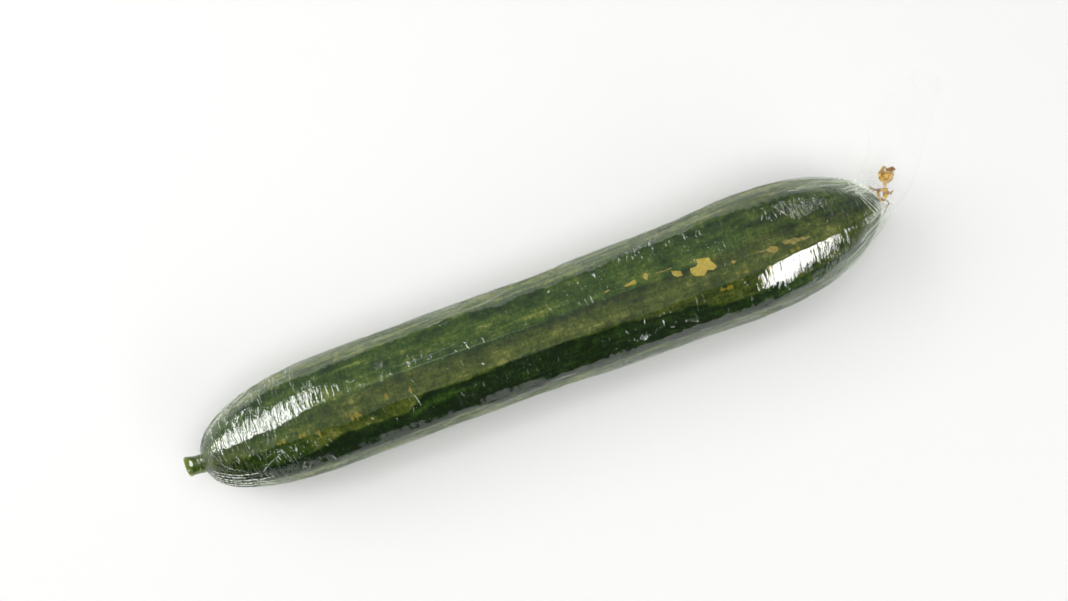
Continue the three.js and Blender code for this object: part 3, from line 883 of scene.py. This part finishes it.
def build_stem():
    count, steps = 160, 90
    turns = [2 * math.pi * i / count for i in range(count)]
    points = []
    for k in range(steps + 1):
        x, radius = catmull(STEM, k / steps)
        shown = smoothstep(-x, -0.6, 0.4)
        dent = smoothstep(-x, 3.3, 6.0) * fade(-x, 6.0, 6.8)
        for angle in turns:
            s, c = math.sin(angle), math.cos(angle)
            ridge = 0.11 * math.cos(5 * angle + 0.6)
            rough = 0.06 * fractal(3, x / 1.3, 2.2 * s, 2.2 * c)
            pressed = dent * hump(math.degrees(wrap(angle)), 16, 36)
            points.append(stem_point(x, radius - pressed + (ridge + rough) * shown, angle))
    for share, depth in CUT_RINGS:
        radius = CUT_RADIUS * share
        for angle in turns:
            rough = 0.07 * fractal(3, radius * math.sin(angle), radius * math.cos(angle), 4)
            points.append(stem_point(STEM[-1][0] + depth + rough, radius, angle))
    points.append(stem_point(STEM[0][0], 0, 0))
    points.append(stem_point(STEM[-1][0] + 0.1, 0, 0))
    return add_mesh("stem_stub", points, loft(steps + 1 + len(CUT_RINGS), count, True, True))


STEM_COLOURS = [(0.0, 0.016, 0.040, 0.004), (0.50, 0.040, 0.075, 0.008), (0.66, 0.110, 0.160, 0.020),
                (0.84, 0.260, 0.300, 0.055), (1.0, 0.420, 0.430, 0.130)]


def stem_material():
    n = Nodes("stem")
    fibre = n.noise(n.place((0.25, 1.4, 1.4)), 3.0, 0.6)
    mottle = n.noise(n.place((0.75, 0.9, 0.9), (5, 2, 8)), 4.0, 0.7)
    coordinates = n.add("ShaderNodeTexCoord")
    split = n.add("ShaderNodeSeparateXYZ", {0: coordinates.outputs["Object"]})
    cut_end = n.range(split.outputs[0], world(-6.9, 0, 0).x, world(-3.8, 0, 0).x, 0.30, 0.0)
    low_side = n.range(split.outputs[1], world(0, -4.2, 0).y, world(0, -2.2, 0).y, 0.22, 0.0)
    light = n.plus(mottle, cut_end, low_side, n.swing(fibre, 0.3))
    normal = n.bump(n.plus(fibre, mottle), 0.00015)
    return n.principled(n.ramp(light, STEM_COLOURS), 0.20, normal,
                        {"Specular IOR Level": 0.2, "Coat Weight": 1.0, "Coat Roughness": 0.10,
                         "Coat IOR": 1.6})


# ---------- the withered blossom

CRUMPLE_SEED = 5  # of noise_vector, which takes the clock's time if no seed is set
NECK = Vector((303.0, 6.2, 18.6))
CLUMP_END = Vector((306.9, 12.6, 15.8))
# The back petals from the neck outwards: how far they stand off the clump's axis, and their half width.
CLUMP = [(0.25, 0.5), (0.6, 0.7), (2.1, 1.4), (2.6, 1.7), (2.2, 1.5), (1.2, 0.8)]
# The withered strips: their points, half width, thickness, and how pink, brown and pale they are.
STRANDS = [
    # the curled rim, the sides, the cup and the middle of the flower
    ([(302.5, 12.1, 20.0), (303.6, 12.7, 19.3), (305.2, 13.4, 18.4), (305.9, 12.1, 18.0)],
     0.55, 0.40, 0.00, 0.35, 0.30),
    ([(305.7, 12.2, 18.2), (307.2, 11.6, 17.3), (308.6, 11.5, 16.4), (309.7, 11.0, 15.7)],
     0.80, 0.44, 0.00, 1.00, 0.00),
    ([(302.7, 12.2, 19.3), (302.0, 10.9, 19.7), (301.9, 9.4, 19.7), (302.5, 8.1, 19.4), (303.0, 6.8, 19.1)],
     0.62, 0.40, 0.00, 0.25, 0.30),
    ([(302.1, 9.1, 20.4), (303.3, 9.5, 19.6), (304.6, 9.2, 18.8), (305.7, 9.3, 18.2)],
     1.15, 0.40, 0.00, 0.00, 0.00),
    ([(308.8, 11.2, 15.2), (308.6, 10.0, 15.4), (307.5, 8.8, 16.0), (305.9, 8.0, 17.0), (304.3, 7.3, 17.9),
      (303.2, 6.7, 18.6)], 0.62, 0.36, 0.10, 0.20, 0.75),
    ([(302.9, 11.8, 19.4), (304.2, 11.7, 18.6), (305.4, 10.8, 17.9), (306.9, 10.5, 17.0), (308.0, 9.7, 16.3)],
     0.55, 0.36, 0.00, 0.50, 0.20),
    # the neck, the side arm, the two legs and the bridge between them
    ([(303.1, 7.0, 18.8), (302.6, 6.0, 19.1), (302.3, 4.6, 19.3)], 0.42, 0.36, 0.00, 0.10, 0.60),
    ([(295.5, 8.3, 23.6), (296.2, 6.9, 23.2), (298.1, 5.7, 22.0), (300.2, 5.2, 20.8)],
     0.62, 0.42, 0.35, 0.60, 0.00),
    ([(298.9, 5.3, 21.5), (298.3, 4.0, 21.9), (298.0, 2.5, 22.1), (297.9, 1.0, 22.2), (296.8, -0.2, 22.8)],
     0.80, 0.42, 0.00, 0.35, 0.00),
    ([(298.4, 5.2, 21.9), (299.9, 5.1, 21.0), (301.8, 4.4, 19.9), (302.9, 3.6, 19.2)],
     0.70, 0.42, 0.00, 0.35, 0.00),
    ([(302.0, 4.9, 19.6), (302.5, 3.8, 19.2), (301.8, 2.8, 19.7), (300.6, 1.8, 20.4), (298.8, 0.8, 21.5)],
     1.20, 0.42, 0.00, 0.15, 0.00),
    # the small stub, and the pale loop and thread under the legs
    ([(305.3, 3.2, 17.5), (304.2, 2.3, 18.2), (303.2, 1.9, 18.7)], 0.40, 0.30, 0.55, 0.50, 0.00),
    ([(299.1, 0.6, 20.9), (301.0, 0.2, 19.7), (301.3, -1.4, 19.5), (299.6, -2.2, 20.5), (298.6, -0.9, 21.2),
      (298.7, 0.1, 21.1)], 0.42, 0.26, 0.75, 0.30, 0.00),
    ([(300.5, -1.7, 19.8), (299.1, -3.5, 20.7), (297.3, -4.9, 21.7), (296.5, -5.4, 22.2)],
     0.40, 0.22, 0.90, 0.20, 0.00),
]


def ribbon(path, widths, facings, thickness, crumpled, shift, points, faces, tips):
    """One withered petal: a crumpled closed strip along path."""
    steps, across = len(path), 14
    start = len(points)
    for k in range(steps):
        here = path[k]
        along = (path[min(k + 1, steps - 1)] - path[max(k - 1, 0)]).normalized()
        side = facings[k] - along * facings[k].dot(along)
        side.normalize()
        up = along.cross(side)
        for layer in (1, -1):
            for i in range(across):
                u = (2 * i / (across - 1) - 1) * layer
                curl = 0.35 * widths[k] * (u * u - 0.4)
                p = here + side * (widths[k] * u) + up * curl
                crumple = noise.noise_vector(p * 1.2 + Vector((shift, 0, 0))) * crumpled
                vein = 0.10 * math.cos(9 * u) * (1 - abs(u))
                thick = thickness * 0.5 * (1 - 0.75 * abs(u) ** 4)
                points.append(tuple(p + crumple + up * (layer * thick + vein)))
                tips.append(k / (steps - 1))
    ring = 2 * across
    faces += [tuple(start + i for i in face) for face in loft(steps, ring)]
    faces.append(tuple(start + i for i in range(ring)))
    last = start + (steps - 1) * ring
    faces.append(tuple(last + i for i in reversed(range(ring))))


def build_blossom():
    """The back petals of the flower, and the curled strips in front of them and down to the fruit."""
    noise.seed_set(CRUMPLE_SEED)
    points, faces, tips = [], [], []
    colours = {"pink": [], "brown": [], "pale": []}

    def tint(pink, brown, pale):
        for key, value in (("pink", pink), ("brown", brown), ("pale", pale)):
            colours[key] += [value] * (len(points) - len(colours[key]))

    axis = (CLUMP_END - NECK).normalized()
    length = (CLUMP_END - NECK).length
    a = (Vector((0, 0, 1)) - axis * axis.z).normalized()
    b = axis.cross(a)
    steps = 40
    for petal in range(3):
        path, widths, facings = [], [], []
        reach = axis * length * (0.70 + 0.08 * petal)
        for k in range(steps + 1):
            u = k / steps
            out, width = catmull(CLUMP, u)
            turn = math.pi * (0.72 + 0.28 * petal) + 0.3 * math.sin(6 * u + 2 * petal)
            outward = a * math.cos(turn) + b * math.sin(turn)
            path.append(NECK + reach * math.sin(u * math.pi / 2) + outward * out)
            widths.append(max(width, 0.25) * 0.8)
            facings.append(axis.cross(outward))
        ribbon(path, widths, facings, 0.30, 1.1, petal * 7.3, points, faces, tips)
        tint(0.0, 0.1, 0.85)
    steps = 36
    for number, (line, width, thickness, pink, brown, pale) in enumerate(STRANDS):
        path = [Vector(catmull(line, k / steps)) for k in range(steps + 1)]
        widths, facings = [], []
        for k in range(steps + 1):
            taper = 0.62 + 0.38 * math.sin(math.pi * k / steps)
            widths.append(width * taper * (1 + 0.22 * math.sin(k * 0.9 + number)))
            step = path[min(k + 1, steps)] - path[max(k - 1, 0)]
            facings.append(Vector((-step.y, step.x, 0.7 * step.length * math.sin(number + k / 7))))
        ribbon(path, widths, facings, thickness, 0.45, 50 + number * 9, points, faces, tips)
        tint(pink, brown, pale)
    return add_mesh("withered_blossom", points, faces, {"toward_tip": tips, **colours})


def blossom_material():
    n = Nodes("dried_petal")
    crumple = n.noise(n.place((0.7, 0.7, 0.7)), 3.0, 0.6)
    fibre = n.noise(n.place((2.2, 0.8, 2.2)), 3.0, 0.5)
    colour = n.mix(n.range(crumple, 0.36, 0.54), (0.50, 0.22, 0.016, 1), (0.78, 0.46, 0.040, 1))
    colour = n.mix(n.times(n.range(fibre, 0.50, 0.66), 0.6), colour, (0.90, 0.68, 0.24, 1))
    brown = n.plus(n.attribute("brown"), n.math("SUBTRACT", n.range(crumple, 0.56, 0.36, 0, 0.7), 0.2),
                   n.range(n.attribute("toward_tip"), 0.88, 1.0, 0, 0.4))
    colour = n.mix(n.range(brown, 0, 1, 0, 0.9), colour, (0.17, 0.070, 0.012, 1))
    colour = n.mix(n.attribute("pale"), colour, (0.86, 0.66, 0.34, 1))
    pink = n.mix(n.range(crumple, 0.38, 0.56), (0.24, 0.15, 0.10, 1), (0.66, 0.52, 0.44, 1))
    colour = n.mix(n.attribute("pink"), colour, pink)
    return n.principled(colour, 0.55, n.bump(n.plus(crumple, fibre), 0.0004))


# ---------- pieces

def dress(piece, material, node=None):
    piece.data.materials.append(material)
    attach(piece, "root")
    if node:
        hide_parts(node)


dress(build_skin(), skin_material(), "fruit")
dress(build_scars(), scar_material())
dress(build_stem(), stem_material(), "stem")
dress(build_blossom(), blossom_material(), "dried_blossom")
dress(build_film(), film_material(), "shrink_film")
dress(build_creases(), crease_material())


# ---------- floor, light and camera

# The floor and the lights are in metres.
FLOOR_HALF = 6
DARK, DIFFUSER, HORIZON = 0.006, 0.27, 0.75  # how bright the surroundings are
HORIZON_BAND = (0.03, 0.12)  # from where to where the horizon fades, as sines of the height
DIFFUSER_END = 0.57  # how far past straight up, towards -Y, the diffuser ends, as a tangent
EDGE_BLUR = 0.04
BOX_HEIGHT, SHINE_GAP = 2.2, 0.05  # a soft box over its target, and its shine over the soft box


def build_floor():
    mesh = bpy.data.meshes.new("floor")
    corners = [(x * FLOOR_HALF, y * FLOOR_HALF, 0) for x, y in ((-1, -1), (1, -1), (1, 1), (-1, 1))]
    mesh.from_pydata(corners, [], [(0, 1, 2, 3)])
    piece = bpy.data.objects.new("floor", mesh)
    bpy.context.collection.objects.link(piece)
    mesh.materials.append(Nodes("floor").principled((0.86, 0.86, 0.85, 1), 0.6))


def softbox(name, target, to_x, to_y, radiance, shine=0.0):
    """A level panel of light. target sees it between these angles from straight up, towards X and Y.
    shine is how much brighter it looks in a reflection."""
    lamps = []
    for part, amount in (("", radiance), ("_shine", shine)):
        height = BOX_HEIGHT + SHINE_GAP * len(lamps)
        left, right, near, far = [height * math.tan(math.radians(a)) for a in (*to_x, *to_y)]
        light = bpy.data.lights.new(name + part, "AREA")
        light.shape = "RECTANGLE"
        light.size = right - left
        light.size_y = far - near
        light.energy = amount * math.pi * light.size * light.size_y
        lamp = bpy.data.objects.new(name + part, light)
        lamp.location = Vector(target) + Vector(((left + right) / 2, (near + far) / 2, height))
        lamp.visible_camera = False
        lamp.visible_diffuse = not part
        if amount > 0:
            bpy.context.collection.objects.link(lamp)
        lamps.append(lamp)
    return lamps[0]


def build_world():
    """Pale at the horizon. Above that, a dim diffuser on the +Y side and overhead, and the dark past it."""
    n = Nodes("studio", world=True)
    split = n.add("ShaderNodeSeparateXYZ", {0: n.add("ShaderNodeTexCoord").outputs["Generated"]})
    edge = n.plus(n.times(split.outputs[2], DIFFUSER_END), split.outputs[1])
    diffuser = n.range(edge, -EDGE_BLUR, EDGE_BLUR, DARK, DIFFUSER)
    horizon = n.range(split.outputs[2], *HORIZON_BAND, HORIZON, 0.0)
    strength = n.math("MAXIMUM", diffuser, horizon)
    back = n.add("ShaderNodeBackground", {"Color": (1, 1, 1, 1), "Strength": strength})
    bpy.context.scene.world = n.finish(back)


def build_camera():
    data = bpy.data.cameras.new("camera")
    data.lens = 60
    data.sensor_width = 36
    data.clip_end = 50
    camera = bpy.data.objects.new("camera", data)
    camera.location = world(150.4, 13.46, 754)
    camera.rotation_euler = (0, 0, math.radians(-20.9))
    bpy.context.collection.objects.link(camera)
    bpy.context.scene.camera = camera


build_floor()
softbox("large_softbox", (-0.14, 0.005, 0.045), (-68, -19), (16, 58), radiance=3.1, shine=7.6)
softbox("small_softbox", (0.092, -0.021, 0.045), (20, 44), (-69, -30), radiance=2.6, shine=10.9)
softbox("tip_softbox", (0.098, -0.021, 0.045), (40, 50), (-74, -32), radiance=0.0, shine=12.2)
softbox("edge_softbox", (0.0985, 0.0, 0.04), (46, 58), (57, 66), radiance=1.9)
softbox("fill", (0, 0, 0), (-24, 24), (-29, 25), radiance=2.42).visible_glossy = False
build_world()
build_camera()
bpy.context.scene.view_settings.view_transform = "Standard"
